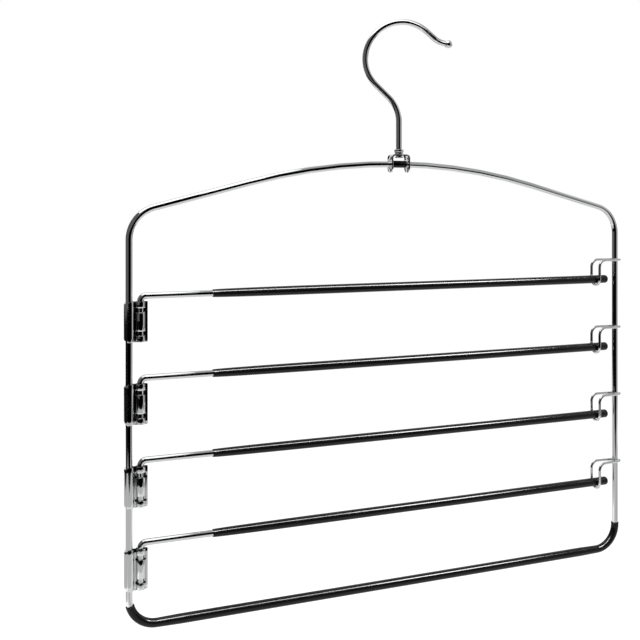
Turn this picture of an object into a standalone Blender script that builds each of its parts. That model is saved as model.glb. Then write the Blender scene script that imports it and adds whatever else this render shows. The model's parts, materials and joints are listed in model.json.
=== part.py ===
"""Trouser hanger with four swing-out arms and a fixed bottom bar, under a swivel hook.

Everything is in metres, with +Z up and the frame in the XZ plane, its front facing -Y.
The origin is on the hook's swivel axis, at the height where a rail touches the inside of
the hook. Heights inside the functions are measured from the pivot, the middle of the frame
wire under the hook.
"""

import math

import bmesh
import bpy
from mathutils import Vector

# Play between pieces that touch, and how far a cutter runs past what it cuts.
SEAT_GAP = 0.0003
OVERRUN = 0.001
MERGE_DISTANCE = 0.00001

# The frame: one thick wire, bent to a low arch, two uprights and a flat bottom.
FRAME_WIDTH = 0.384
FRAME_WIRE = 0.0045
CROWN_WIDTH = 0.225
ARCH_SLOPE = math.radians(14.5)
SHOULDER_RADIUS = 0.0215
CORNER_RADIUS = 0.018
FIRST_ARM_DROP = 0.0876
TIER_PITCH = 0.053
ARM_COUNT = 4

# The black sleeve over the bottom of the frame. It starts inside the left corner's bend and
# ends a little up the right upright.
BOTTOM_SLEEVE_WALL = 0.00065
BOTTOM_SLEEVE_START = math.radians(14.5)
BOTTOM_SLEEVE_RISE = 0.0012

# The hook. Lean and slopes are measured on its centre line, and the bow's middle lies the
# sway away from the swivel axis, towards the tip.
HOOK_WIRE = 0.0042
HOOK_RADIUS = 0.0263
HOOK_RISE = 0.0756
HOOK_SWAY = 0.0022
HOOK_TURN = math.radians(24)
NECK_LEAN = math.radians(45)
NECK_BEND_RADIUS = 0.024
TIP_SLOPE = math.radians(42.5)
TIP_RUN = 0.0072
TIP_BEND_RADIUS = 0.016
TIP_END_SLOPE = math.radians(10)
TIP_BALL = 0.0058
HOOK_HEAD = 0.0058
HOOK_HEAD_HEIGHT = 0.0013

# The ring pressed onto the hook's neck above the saddle.
COLLAR_HEIGHT = 0.0032
COLLAR_WALL = 0.0009
COLLAR_GROOVE = 0.0003

# The sheet metal bridge between the hook and the frame wire, a little right of the middle.
SADDLE_SHIFT = 0.0011
SADDLE_SHEET = 0.001
SADDLE_WIDTH = 0.0144
SADDLE_DEPTH = 0.0076
SADDLE_RISE = 0.007
SADDLE_DROP = 0.0061
SADDLE_BEND_RADIUS = 0.0022

# The short black sleeve on the frame wire between the saddle's legs.
SADDLE_SLEEVE_LENGTH = 0.0104
SADDLE_SLEEVE_WALL = 0.0004
SADDLE_SLEEVE_CROWN = 0.0002

# The swinging arms: wire bent down into a pin at the left end, in a sleeve that is thinner
# at its mouth.
ARM_WIRE = 0.0042
ARM_BEND_RADIUS = 0.0035
PIN_OFFSET = 0.0073
PIN_SHORTFALL = 0.001
ARM_TIP_GAP = 0.0058
ARM_BARE_LENGTH = 0.048
ARM_SLEEVE_WALL = 0.0008
ARM_SLEEVE_MOUTH_WALL = 0.0003
ARM_SLEEVE_TAPER = 0.09
ARM_SLEEVE_PLUG = 0.0025
ARM_SLEEVE_ROUNDING = 0.0022

# The folded plates that hold the pins beside the left upright.
PLATE_SHEET = 0.0008
PLATE_HEIGHT = 0.026
PLATE_LIP = 0.0014
WINDOW_HEIGHT = 0.003
WINDOW_WIDTH = 0.0068
WINDOW_INSET = 0.0055
PLATE_CORNER_CUT = 0.002

# The wire catches that hold the free ends of the arms.
CATCH_WIRE = 0.0021
CATCH_REACH = 0.0185
CATCH_RISE = 0.015
CATCH_WIDTH = 0.0099
CATCH_BEND_RADIUS = 0.0055

# Facets round a wire, and steps along a quarter turn.
WIRE_SIDES = 12
THIN_WIRE_SIDES = 8
LATHE_SIDES = 16
QUARTER_STEPS = 8
CROWN_STEPS = 14
BALL_STEPS = 8
TAPER_STEPS = 4

# Sizes and places that follow from the ones above.
FRAME_RADIUS = FRAME_WIRE / 2
HOOK_WIRE_RADIUS = HOOK_WIRE / 2
ARM_RADIUS = ARM_WIRE / 2
CATCH_RADIUS = CATCH_WIRE / 2
UPRIGHT_X = FRAME_WIDTH / 2
BOTTOM_DROP = FIRST_ARM_DROP + TIER_PITCH * ARM_COUNT
FRAME_BORE_RADIUS = FRAME_RADIUS + SEAT_GAP
BOTTOM_SLEEVE_RADIUS = FRAME_BORE_RADIUS + BOTTOM_SLEEVE_WALL
SADDLE_SLEEVE_RADIUS = FRAME_BORE_RADIUS + SADDLE_SLEEVE_WALL
ARM_BORE_RADIUS = ARM_RADIUS + SEAT_GAP
ARM_SLEEVE_RADIUS = ARM_BORE_RADIUS + ARM_SLEEVE_WALL
ARM_REACH = FRAME_WIDTH - PIN_OFFSET - FRAME_RADIUS - ARM_TIP_GAP
PIVOT_DEPTH = HOOK_RISE + HOOK_RADIUS - HOOK_WIRE_RADIUS


def clear_scene():
    for thing in list(bpy.data.objects):
        bpy.data.objects.remove(thing)


def make_material(name, colour, roughness, metallic):
    material = bpy.data.materials.new(name)
    material.use_nodes = True
    shader = material.node_tree.nodes["Principled BSDF"]
    shader.inputs["Base Color"].default_value = (*colour, 1)
    shader.inputs["Roughness"].default_value = roughness
    shader.inputs["Metallic"].default_value = metallic
    return material


def add_object(name, data, material, parent=None, place=(0, 0, 0)):
    """Put finished data into the scene under its parent, at a place given from the parent."""
    thing = bpy.data.objects.new(name, data)
    bpy.context.scene.collection.objects.link(thing)
    thing.location = place
    thing.parent = parent
    if material:
        data.materials.clear()
        data.materials.append(material)
    return thing


def arc(centre, radius, start, end, steps):
    """Points on an arc in a plane, from the start angle to the end angle."""
    turns = [start + (end - start) * step / steps for step in range(steps + 1)]
    return [(centre[0] + radius * math.cos(turn), centre[1] + radius * math.sin(turn)) for turn in turns]


def in_frame_plane(points):
    return [Vector((across, 0, up)) for across, up in points]


def mirrored(points):
    return [(-across, up) for across, up in reversed(points)]


def rounded_corner(before, corner, after, radius, steps):
    """The arc of the given radius that replaces the corner between two straight runs."""
    inward = (before - corner).normalized()
    outward = (after - corner).normalized()
    half_angle = inward.angle(outward) / 2
    middle = (inward + outward).normalized()
    centre = corner + middle * (radius / math.sin(half_angle))
    first = (corner + inward * (radius / math.tan(half_angle)) - centre).normalized()
    last = (corner + outward * (radius / math.tan(half_angle)) - centre).normalized()
    return [centre + first.slerp(last, step / steps) * radius for step in range(steps + 1)]


def wire_curve(name, stations, sides, closed=False, capped=True):
    """A round wire through stations, each a point and the wire's radius there."""
    curve = bpy.data.curves.new(name, "CURVE")
    curve.dimensions = "3D"
    curve.bevel_depth = max(radius for point, radius in stations)
    curve.bevel_resolution = (sides - 4) // 2
    curve.use_fill_caps = capped and not closed
    spline = curve.splines.new("POLY")
    spline.points.add(len(stations) - 1)
    for spot, (point, radius) in zip(spline.points, stations):
        spot.co = (*point, 1)
        spot.radius = radius / curve.bevel_depth
    spline.use_cyclic_u = closed
    return curve


def even_stations(points, radius):
    return [(point, radius) for point in points]


def turned_mesh(name, profile, axis):
    """Spin a profile of (along, radius) pairs round an axis; a ring's profile closes on itself."""
    mesh = bpy.data.meshes.new(name)
    shape = bmesh.new()
    side = Vector((0, 0, 1)) if axis.x else Vector((1, 0, 0))
    corners = [shape.verts.new(axis * along + side * radius) for along, radius in profile]
    edges = [shape.edges.new(pair) for pair in zip(corners, corners[1:])]
    if min(radius for along, radius in profile) > 0:
        edges.append(shape.edges.new((corners[-1], corners[0])))
    bmesh.ops.spin(
        shape, geom=corners + edges, cent=(0, 0, 0), axis=axis,
        angle=math.tau, steps=LATHE_SIDES, use_merge=True)
    bmesh.ops.remove_doubles(shape, verts=shape.verts[:], dist=MERGE_DISTANCE)
    bmesh.ops.recalc_face_normals(shape, faces=shape.faces[:])
    shape.to_mesh(mesh)
    shape.free()
    mesh.shade_smooth()
    mesh.set_sharp_from_angle(angle=math.radians(35))
    return mesh


def prism_mesh(name, outline, low, high, across):
    """A flat outline pushed from low to high along the axis named by across: X, Y or Z."""
    order = {"X": (2, 0, 1), "Y": (0, 2, 1), "Z": (0, 1, 2)}[across]
    mesh = bpy.data.meshes.new(name)
    shape = bmesh.new()
    spots = [(first, second, low) for first, second in outline]
    corners = [shape.verts.new([spot[index] for index in order]) for spot in spots]
    face = shape.faces.new(corners)
    grown = bmesh.ops.extrude_face_region(shape, geom=[face])
    moved = [item for item in grown["geom"] if isinstance(item, bmesh.types.BMVert)]
    travel = (0, 0, high - low)
    bmesh.ops.translate(shape, verts=moved, vec=[travel[index] for index in order])
    bmesh.ops.recalc_face_normals(shape, faces=shape.faces[:])
    shape.to_mesh(mesh)
    shape.free()
    return mesh


def folded_sheet_mesh(name, line, low, high, across):
    """A sheet without thickness: an open line pushed from low to high along Y or Z."""
    order = {"Y": (0, 2, 1), "Z": (0, 1, 2)}[across]
    mesh = bpy.data.meshes.new(name)
    shape = bmesh.new()
    spots = [(first, second, low) for first, second in line]
    corners = [shape.verts.new([spot[index] for index in order]) for spot in spots]
    edges = [shape.edges.new(pair) for pair in zip(corners, corners[1:])]
    grown = bmesh.ops.extrude_edge_only(shape, edges=edges)
    moved = [item for item in grown["geom"] if isinstance(item, bmesh.types.BMVert)]
    travel = (0, 0, high - low)
    bmesh.ops.translate(shape, verts=moved, vec=[travel[index] for index in order])
    bmesh.ops.recalc_face_normals(shape, faces=shape.faces[:])
    shape.to_mesh(mesh)
    shape.free()
    return mesh


def cut_mesh(name, base, thickness, cuts):
    """Give a sheet its thickness, then cut or trim it, and return the finished mesh."""
    blank = add_object(name + "_blank", base, None)
    wall = blank.modifiers.new("sheet", "SOLIDIFY")
    wall.thickness = thickness
    wall.offset = 0
    wall.use_even_offset = True
    helpers = [blank]
    for operation, tool_mesh in cuts:
        tool = add_object(name + "_cutter", tool_mesh, None)
        tool.hide_render = True
        tool.display_type = "WIRE"
        cut = blank.modifiers.new("cut", "BOOLEAN")
        cut.operation = operation
        cut.object = tool
        helpers.append(tool)
    graph = bpy.context.evaluated_depsgraph_get()
    mesh = bpy.data.meshes.new_from_object(blank.evaluated_get(graph))
    mesh.name = name
    for helper in helpers:
        bpy.data.objects.remove(helper)
    mesh.shade_smooth()
    mesh.set_sharp_from_angle(angle=math.radians(35))
    return mesh


def rod_mesh(name, radius, low, high, across):
    """A round cutter along X or Z."""
    outline = arc((0, 0), radius, 0, math.tau, LATHE_SIDES)[:-1]
    return prism_mesh(name, outline, low, high, across)


def corner_arc(start=0):
    """The bend at the frame's lower right, from the upright to the bottom."""
    centre = (UPRIGHT_X - CORNER_RADIUS, CORNER_RADIUS - BOTTOM_DROP)
    return arc(centre, CORNER_RADIUS, -start, -math.pi / 2, QUARTER_STEPS)


def build_frame_wire(middle, chrome):
    crown_radius = CROWN_WIDTH / 2 / math.sin(ARCH_SLOPE)
    top = math.pi / 2
    crown = arc((0, -crown_radius), crown_radius, top + ARCH_SLOPE, top - ARCH_SLOPE, CROWN_STEPS)
    crown_end_x, crown_end_z = crown[-1]
    peak_z = crown_end_z - (UPRIGHT_X - crown_end_x) * math.tan(ARCH_SLOPE)
    shoulder_turn = top - ARCH_SLOPE
    shoulder_z = peak_z - SHOULDER_RADIUS * math.tan(shoulder_turn / 2)
    shoulder_centre = (UPRIGHT_X - SHOULDER_RADIUS, shoulder_z)
    shoulder = arc(shoulder_centre, SHOULDER_RADIUS, shoulder_turn, 0, QUARTER_STEPS)
    corner = corner_arc()
    loop = crown + shoulder + corner + mirrored(corner) + mirrored(shoulder)
    stations = even_stations(in_frame_plane(loop), FRAME_RADIUS)
    add_object("frame_wire", wire_curve("frame_wire", stations, WIRE_SIDES, closed=True), chrome, middle)


def build_bottom_sleeve(middle, black):
    corner = corner_arc()
    sleeve_end = (UPRIGHT_X, corner[0][1] + BOTTOM_SLEEVE_RISE)
    line = mirrored(corner_arc(BOTTOM_SLEEVE_START))[::-1] + corner[::-1] + [sleeve_end]
    stations = even_stations(in_frame_plane(line), BOTTOM_SLEEVE_RADIUS)
    curve = wire_curve("bottom_sleeve", stations, WIRE_SIDES, capped=False)
    sleeve = add_object("bottom_sleeve", curve, black, middle)
    wall = sleeve.modifiers.new("wall", "SOLIDIFY")
    wall.thickness = BOTTOM_SLEEVE_WALL
    wall.offset = -1
    wall.use_even_offset = True


def build_hook(pivot, chrome):
    """The hook's line lies in its own upright plane and is then turned in the saddle."""
    join_x = HOOK_RADIUS * math.cos(NECK_LEAN) - HOOK_SWAY
    bend_x = NECK_BEND_RADIUS * (1 - math.cos(NECK_LEAN))
    slant = (join_x - bend_x) / math.sin(NECK_LEAN)
    bend_z = HOOK_RISE - HOOK_RADIUS * math.sin(NECK_LEAN) - slant * math.cos(NECK_LEAN)
    bend_z -= NECK_BEND_RADIUS * math.sin(NECK_LEAN)
    neck = arc((-NECK_BEND_RADIUS, bend_z), NECK_BEND_RADIUS, 0, NECK_LEAN, QUARTER_STEPS)
    tip_turn = math.pi / 2 - TIP_SLOPE
    bow = arc((HOOK_SWAY, HOOK_RISE), HOOK_RADIUS, math.pi + NECK_LEAN, tip_turn, QUARTER_STEPS * 3)
    run_end = Vector(bow[-1]) + Vector((math.cos(TIP_SLOPE), -math.sin(TIP_SLOPE))) * TIP_RUN
    lift_centre = run_end + Vector((math.sin(TIP_SLOPE), math.cos(TIP_SLOPE))) * TIP_BEND_RADIUS
    down = -math.pi / 2
    lift = arc(lift_centre, TIP_BEND_RADIUS, down - TIP_SLOPE, down - TIP_END_SLOPE, QUARTER_STEPS // 2)

    head_top = SADDLE_RISE - SADDLE_SHEET - SEAT_GAP
    head_radius = HOOK_HEAD / 2
    head_edge = HOOK_HEAD_HEIGHT / 4
    head = [
        (head_top - HOOK_HEAD_HEIGHT, head_radius - head_edge),
        (head_top - HOOK_HEAD_HEIGHT + head_edge, head_radius),
        (head_top - head_edge, head_radius),
        (head_top, HOOK_WIRE_RADIUS),
    ]
    stations = [(Vector((0, 0, up)), radius) for up, radius in head]
    stations += even_stations(in_frame_plane(neck + bow + lift), HOOK_WIRE_RADIUS)

    ball_radius = TIP_BALL / 2
    ball_start = math.asin(HOOK_WIRE_RADIUS / ball_radius)
    heading = Vector((math.cos(TIP_END_SLOPE), 0, -math.sin(TIP_END_SLOPE)))
    ball_centre = stations[-1][0] + heading * (ball_radius * math.cos(ball_start) + SEAT_GAP)
    for step in range(BALL_STEPS):
        turn = ball_start + (math.pi - ball_start) * step / BALL_STEPS
        stations.append((ball_centre - heading * (ball_radius * math.cos(turn)), ball_radius * math.sin(turn)))
    hook = add_object("hook", wire_curve("hook", stations, WIRE_SIDES), chrome, pivot)
    hook.rotation_euler.z = -HOOK_TURN


def build_hook_collar(pivot, chrome):
    bore = HOOK_WIRE_RADIUS + SEAT_GAP
    outside = bore + COLLAR_WALL
    low = SADDLE_RISE + SEAT_GAP
    high = low + COLLAR_HEIGHT
    groove = outside - COLLAR_GROOVE
    step = COLLAR_HEIGHT / 5
    profile = [
        (low, bore),
        (low, outside),
        (low + step, outside),
        (low + step * 2, groove),
        (high - step * 2, groove),
        (high - step, outside),
        (high - step / 2, outside),
        (high, groove),
        (high, bore),
    ]
    mesh = turned_mesh("hook_collar", profile, Vector((0, 0, 1)))
    add_object("hook_collar", mesh, chrome, pivot)


def build_saddle(pivot, chrome):
    half_width = (SADDLE_WIDTH - SADDLE_SHEET) / 2
    half_depth = SADDLE_DEPTH / 2
    top = SADDLE_RISE - SADDLE_SHEET / 2
    bend_centre = (half_width - SADDLE_BEND_RADIUS, top - SADDLE_BEND_RADIUS)
    bend = arc(bend_centre, SADDLE_BEND_RADIUS, 0, math.pi / 2, QUARTER_STEPS)
    right_half = [(half_width, -SADDLE_DROP)] + bend
    line = mirrored(right_half)[::-1] + right_half[::-1]
    sheet = folded_sheet_mesh("saddle_sheet", line, -half_depth, half_depth, "Y")

    outline = arc((0, half_depth - SADDLE_DROP), half_depth, -math.pi, 0, LATHE_SIDES)
    outline += [(half_depth, SADDLE_RISE + OVERRUN), (-half_depth, SADDLE_RISE + OVERRUN)]
    reach = SADDLE_WIDTH / 2 + OVERRUN
    rounding = prism_mesh("saddle_rounding", outline, -reach, reach, "X")
    wire_hole = rod_mesh("saddle_wire_hole", FRAME_BORE_RADIUS, -reach, reach, "X")
    hook_bore = HOOK_WIRE_RADIUS + SEAT_GAP
    hook_hole = rod_mesh("saddle_hook_hole", hook_bore, FRAME_BORE_RADIUS, SADDLE_RISE + OVERRUN, "Z")
    cuts = [("INTERSECT", rounding), ("DIFFERENCE", wire_hole), ("DIFFERENCE", hook_hole)]
    add_object("saddle", cut_mesh("saddle", sheet, SADDLE_SHEET, cuts), chrome, pivot)


def build_saddle_sleeve(pivot, black):
    half = SADDLE_SLEEVE_LENGTH / 2
    end_radius = SADDLE_SLEEVE_RADIUS - SADDLE_SLEEVE_CROWN
    profile = [
        (-half, FRAME_BORE_RADIUS),
        (-half, end_radius),
        (-half / 2, SADDLE_SLEEVE_RADIUS),
        (half / 2, SADDLE_SLEEVE_RADIUS),
        (half, end_radius),
        (half, FRAME_BORE_RADIUS),
    ]
    mesh = turned_mesh("saddle_sleeve", profile, Vector((1, 0, 0)))
    add_object("saddle_sleeve", mesh, black, pivot)


def plate_line():
    """The folded plate seen from above, along the middle of its sheet, from lip to lip."""
    leaf = (PLATE_SHEET + SEAT_GAP) / 2
    wrap = FRAME_BORE_RADIUS + PLATE_SHEET / 2
    barrel = ARM_BORE_RADIUS + PLATE_SHEET / 2
    wrap_turn = math.asin(leaf / wrap)
    barrel_turn = math.asin(leaf / barrel)
    lip_end = PIN_OFFSET + barrel + PLATE_SHEET / 2 + PLATE_LIP
    rear_barrel = arc((PIN_OFFSET, 0), barrel, barrel_turn, math.pi - barrel_turn, QUARTER_STEPS)
    front_barrel = [(across, -back) for across, back in rear_barrel]
    fold = arc((0, 0), wrap, -wrap_turn, wrap_turn - math.tau, QUARTER_STEPS * 2)
    return [(lip_end, -leaf)] + front_barrel + fold + rear_barrel[::-1] + [(lip_end, leaf)]


def build_plate_mesh():
    """The windows show the pin from the front; the fold's two corners are cut off."""
    sheet = folded_sheet_mesh("plate_sheet", plate_line(), -PLATE_HEIGHT, 0, "Z")
    front = -(ARM_BORE_RADIUS + PLATE_SHEET + OVERRUN)
    left = PIN_OFFSET - WINDOW_WIDTH / 2
    right = PIN_OFFSET + WINDOW_WIDTH / 2
    window = [(left, front), (right, front), (right, 0), (left, 0)]
    half = WINDOW_HEIGHT / 2
    cuts = []
    for middle in (-WINDOW_INSET, WINDOW_INSET - PLATE_HEIGHT):
        cuts.append(("DIFFERENCE", prism_mesh("plate_window", window, middle - half, middle + half, "Z")))
    fold_x = -(FRAME_BORE_RADIUS + PLATE_SHEET)
    depth = FRAME_BORE_RADIUS + PLATE_SHEET + OVERRUN
    for edge, inward in ((0, -1), (-PLATE_HEIGHT, 1)):
        corner = [
            (fold_x - OVERRUN, edge + inward * (PLATE_CORNER_CUT + OVERRUN)),
            (fold_x + PLATE_CORNER_CUT + OVERRUN, edge - inward * OVERRUN),
            (fold_x - OVERRUN, edge - inward * OVERRUN),
        ]
        cuts.append(("DIFFERENCE", prism_mesh("plate_corner", corner, -depth, depth, "Y")))
    return cut_mesh("hinge_plate", sheet, PLATE_SHEET, cuts)


def build_arm_curve():
    """The pin runs up through the plate, turns at its top edge and becomes the arm."""
    pin_end = ARM_BEND_RADIUS + PLATE_HEIGHT - PIN_SHORTFALL
    bend_centre = (ARM_BEND_RADIUS, -ARM_BEND_RADIUS)
    bend = arc(bend_centre, ARM_BEND_RADIUS, math.pi, math.pi / 2, QUARTER_STEPS)
    line = [(0, -pin_end)] + bend + [(ARM_REACH - ARM_SLEEVE_PLUG - SEAT_GAP, 0)]
    return wire_curve("arm", even_stations(in_frame_plane(line), ARM_RADIUS), WIRE_SIDES)


def build_arm_sleeve_mesh():
    """Open and thin at the arm's bare end, with a rounded plug at the free end."""
    bore_end = ARM_REACH - ARM_SLEEVE_PLUG
    round_centre = (ARM_REACH - ARM_SLEEVE_ROUNDING, ARM_SLEEVE_RADIUS - ARM_SLEEVE_ROUNDING)
    rounding = arc(round_centre, ARM_SLEEVE_ROUNDING, math.pi / 2, 0, QUARTER_STEPS // 2)
    thinning = ARM_SLEEVE_WALL - ARM_SLEEVE_MOUTH_WALL
    taper = []
    for step in range(TAPER_STEPS + 1):
        turn = math.pi / 2 * step / TAPER_STEPS
        along = ARM_BARE_LENGTH + ARM_SLEEVE_TAPER * (1 - math.cos(turn))
        taper.append((along, ARM_SLEEVE_RADIUS - thinning * (1 - math.sin(turn))))
    profile = [
        (bore_end, 0),
        (bore_end, ARM_BORE_RADIUS),
        (ARM_BARE_LENGTH, ARM_BORE_RADIUS),
        *taper,
        *rounding,
        (ARM_REACH, 0),
    ]
    return turned_mesh("arm_sleeve", profile, Vector((1, 0, 0)))


def build_catch_curve():
    """One closed loop of wire: round the upright, along, down, and under the arm."""
    half = CATCH_WIDTH / 2
    grip = FRAME_BORE_RADIUS + CATCH_RADIUS
    cradle_z = half - ARM_SLEEVE_RADIUS - SEAT_GAP - CATCH_RADIUS
    legs_x = -CATCH_REACH
    wrap = arc((0, 0), grip, -math.pi / 2, math.pi / 2, QUARTER_STEPS)
    points = [Vector((across, back, CATCH_RISE)) for across, back in wrap]
    rear_corner = Vector((legs_x, half, CATCH_RISE))
    front_corner = Vector((legs_x, -half, CATCH_RISE))
    rear_foot = Vector((legs_x, half, cradle_z))
    front_foot = Vector((legs_x, -half, cradle_z))
    steps = QUARTER_STEPS // 2
    points += rounded_corner(points[-1], rear_corner, rear_foot, CATCH_BEND_RADIUS, steps)
    cradle = arc((0, cradle_z), half, 0, -math.pi, QUARTER_STEPS)
    points += [Vector((legs_x, back, up)) for back, up in cradle]
    points += rounded_corner(front_foot, front_corner, points[0], CATCH_BEND_RADIUS, steps)
    return wire_curve("catch", even_stations(points, CATCH_RADIUS), THIN_WIRE_SIDES, closed=True)


def build_tiers(middle, chrome, bare_wire, black):
    """Every tier has the same plate, arm, sleeve and catch, one pitch lower each time."""
    plate_mesh = build_plate_mesh()
    arm_curve = build_arm_curve()
    sleeve_mesh = build_arm_sleeve_mesh()
    catch_curve = build_catch_curve()
    for tier in range(ARM_COUNT):
        label = f"_{tier + 1}"
        height = -(FIRST_ARM_DROP + TIER_PITCH * tier)
        plate_place = (-UPRIGHT_X, 0, height - ARM_BEND_RADIUS)
        add_object("hinge_plate" + label, plate_mesh, chrome, middle, plate_place)
        pin_place = (PIN_OFFSET - UPRIGHT_X, 0, height)
        arm = add_object("arm" + label, arm_curve, bare_wire, middle, pin_place)
        add_object("arm_sleeve" + label, sleeve_mesh, black, arm)
        add_object("catch" + label, catch_curve, chrome, middle, (UPRIGHT_X, 0, height))


def build_hanger():
    clear_scene()
    chrome = make_material("chrome", (0.78, 0.79, 0.80), 0.06, 1)
    bare_wire = make_material("arm_chrome", (0.74, 0.75, 0.76), 0.10, 1)
    black = make_material("black_sleeve", (0.012, 0.012, 0.013), 0.38, 0)
    pivot = add_object("pivot", None, None, None, (0, 0, -PIVOT_DEPTH))
    build_hook(pivot, chrome)
    build_hook_collar(pivot, chrome)
    build_saddle(pivot, chrome)
    build_saddle_sleeve(pivot, black)
    middle = add_object("frame_middle", None, None, pivot, (-SADDLE_SHIFT, 0, 0))
    build_frame_wire(middle, chrome)
    build_bottom_sleeve(middle, black)
    build_tiers(middle, chrome, bare_wire, black)


build_hanger()
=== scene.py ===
# %% [markdown]
# # A trouser hanger bent from chromed wire
# The hanger is a closed wire frame under a swivel hook. Four arms swing out on pins in folded
# sheet plates, and their free ends rest in thin wire catches. Black soft sleeves keep the
# trousers from sliding. Nearly everything is round wire, so this lesson builds one small
# helper that works as a wire bender does, and bends most pieces with it. The engineering
# model is loaded first: it says where every piece is, and the finer pieces stand for its nodes.

# %% Load the engineering model
import json
import math

import bmesh
import bpy
from mathutils import Matrix, Vector


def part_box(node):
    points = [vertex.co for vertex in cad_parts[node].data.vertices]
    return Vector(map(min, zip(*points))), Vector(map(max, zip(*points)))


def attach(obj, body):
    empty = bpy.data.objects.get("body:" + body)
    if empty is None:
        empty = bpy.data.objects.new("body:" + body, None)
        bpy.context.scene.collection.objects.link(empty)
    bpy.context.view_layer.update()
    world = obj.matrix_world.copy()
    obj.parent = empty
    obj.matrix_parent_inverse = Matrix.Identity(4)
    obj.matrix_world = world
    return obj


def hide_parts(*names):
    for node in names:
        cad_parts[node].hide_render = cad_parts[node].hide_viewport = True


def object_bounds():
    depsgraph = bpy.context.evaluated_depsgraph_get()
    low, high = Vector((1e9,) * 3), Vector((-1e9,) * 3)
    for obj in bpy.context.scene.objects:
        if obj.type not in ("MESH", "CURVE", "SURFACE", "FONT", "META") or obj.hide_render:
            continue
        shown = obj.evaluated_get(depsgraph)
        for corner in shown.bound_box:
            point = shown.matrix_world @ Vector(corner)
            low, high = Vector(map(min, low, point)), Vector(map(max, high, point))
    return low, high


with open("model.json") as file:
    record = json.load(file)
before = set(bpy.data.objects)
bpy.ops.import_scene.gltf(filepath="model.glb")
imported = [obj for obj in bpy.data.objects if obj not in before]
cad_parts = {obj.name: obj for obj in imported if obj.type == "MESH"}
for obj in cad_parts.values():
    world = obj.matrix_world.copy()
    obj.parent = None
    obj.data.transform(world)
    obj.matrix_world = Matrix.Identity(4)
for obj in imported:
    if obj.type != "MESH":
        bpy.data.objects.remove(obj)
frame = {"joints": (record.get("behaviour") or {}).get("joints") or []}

engineering_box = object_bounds()
joints = {joint["name"]: Vector(joint["pos_m"]) for joint in frame["joints"]}

# %% [markdown]
# ## Sizes
# A wire's gauge and its bend radii are what the bender is set to, so they are written here.
# Heights, widths and pin positions are read from the engineering model, so the two can't
# drift apart. The hook's wire is a hair under its gauge of 4.2 mm, so that its round bow stays
# inside the faceted one.

# %% Set the gauges and read the places
RIGHT = Vector((1, 0, 0))
LEFT = -RIGHT
UP = Vector((0, 0, 1))
DOWN = -UP
FRONT = Vector((0, -1, 0))

FRAME_WIRE = 0.0045
ARM_WIRE = 0.0042
HOOK_WIRE = 0.00417
CATCH_WIRE = 0.0021
BORE_PLAY = 0.0003
SNUG_PLAY = 0.00005
TIERS = range(1, 5)

pivot = joints["saddle_tilt"]
frame_low, frame_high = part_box("frame_wire")
left_x = frame_low.x + FRAME_WIRE / 2
right_x = frame_high.x - FRAME_WIRE / 2
middle_x = (left_x + right_x) / 2
bottom_z = frame_low.z + FRAME_WIRE / 2
pins = [joints[f"arm_{tier}_swing"] for tier in TIERS]
print(f"the uprights are {(right_x - left_x) * 1000:.1f} mm apart")
print(f"the bottom bar is at {bottom_z * 1000:.1f} mm")

# %% [markdown]
# ## The camera
# The photograph was taken level, from the left and a little below the crown, with the view
# shifted down. A level camera keeps the uprights upright. The same picture could be made by
# tilting the camera, but then the uprights would lean towards each other.

# %% Place the camera
CAMERA_PLACE = Vector((-0.3079, -0.6104, -0.1276))
CAMERA_YAW = math.radians(22.02)
CAMERA_LENS = 53.44
HORIZON_ROW = 203
IMAGE_SIDE = 640

camera_data = bpy.data.cameras.new("camera")
camera_data.lens = CAMERA_LENS
camera_data.shift_y = (HORIZON_ROW - IMAGE_SIDE / 2) / IMAGE_SIDE
camera = bpy.data.objects.new("camera", camera_data)
camera.location = CAMERA_PLACE
camera.rotation_euler = (math.pi / 2, 0, -CAMERA_YAW)
bpy.context.scene.collection.objects.link(camera)
bpy.context.scene.camera = camera
print("the view is shifted by", round(camera_data.shift_y, 4))

# %% [markdown]
# ## The studio
# Chrome has no colour of its own: it shows the room. A product studio for chrome is a white
# room with a soft box overhead and black and grey cards round the object, which draw the
# dark lines that give a wire its roundness. The cards only have to be seen in reflections, so
# they are hidden from the camera, light nothing dull and throw no shadow. The room could be a
# picture wrapped round the scene instead, but then no line could be moved by itself.

# %% Make the room white
bpy.context.scene.view_settings.view_transform = "Standard"
WHITE = (1, 1, 1, 1)
ROOM_FILL = 0.55


def set_or_link(tree, socket, value):
    """Set a number on a socket, or link another node's socket to it."""
    if isinstance(value, bpy.types.NodeSocket):
        tree.links.new(value, socket)
    else:
        socket.default_value = value


def calculate(tree, operation, first, second):
    """The result of a Math node on two numbers or sockets."""
    node = tree.nodes.new("ShaderNodeMath")
    node.operation = operation
    set_or_link(tree, node.inputs[0], first)
    set_or_link(tree, node.inputs[1], second)
    return node.outputs[0]


def seen_or_reflected(tree):
    """A mask that is 1 for rays from the camera and for rays in metal and glass."""
    path = tree.nodes.new("ShaderNodeLightPath")
    mask = path.outputs["Is Camera Ray"]
    for name in ("Is Glossy Ray", "Is Transmission Ray"):
        mask = calculate(tree, "MAXIMUM", mask, path.outputs[name])
    return mask


world = bpy.data.worlds.new("white_room")
world.use_nodes = True
room = world.node_tree
level = room.nodes.new("ShaderNodeMapRange")
level.inputs["To Min"].default_value = ROOM_FILL
level.inputs["To Max"].default_value = 1
room.links.new(seen_or_reflected(room), level.inputs["Value"])
room.nodes["Background"].inputs["Color"].default_value = WHITE
room.links.new(level.outputs["Result"], room.nodes["Background"].inputs["Strength"])
bpy.context.scene.world = world
print("the room lights the object at", ROOM_FILL)

# %% [markdown]
# The floor is a very large pale sheet below the hanger, and it takes the hanger's shadow. Its
# paint alone would be darker than the room, so it also glows for the camera and in
# reflections. A curved backdrop would do as well, but this one works from every side.

# %% Lay the floor
FLOOR_DROP = 0.4
FLOOR_HALF = 200
FLOOR_PAINT = 0.55
FLOOR_ROUGHNESS = 0.9
FLOOR_GLOW = 0.74

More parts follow.
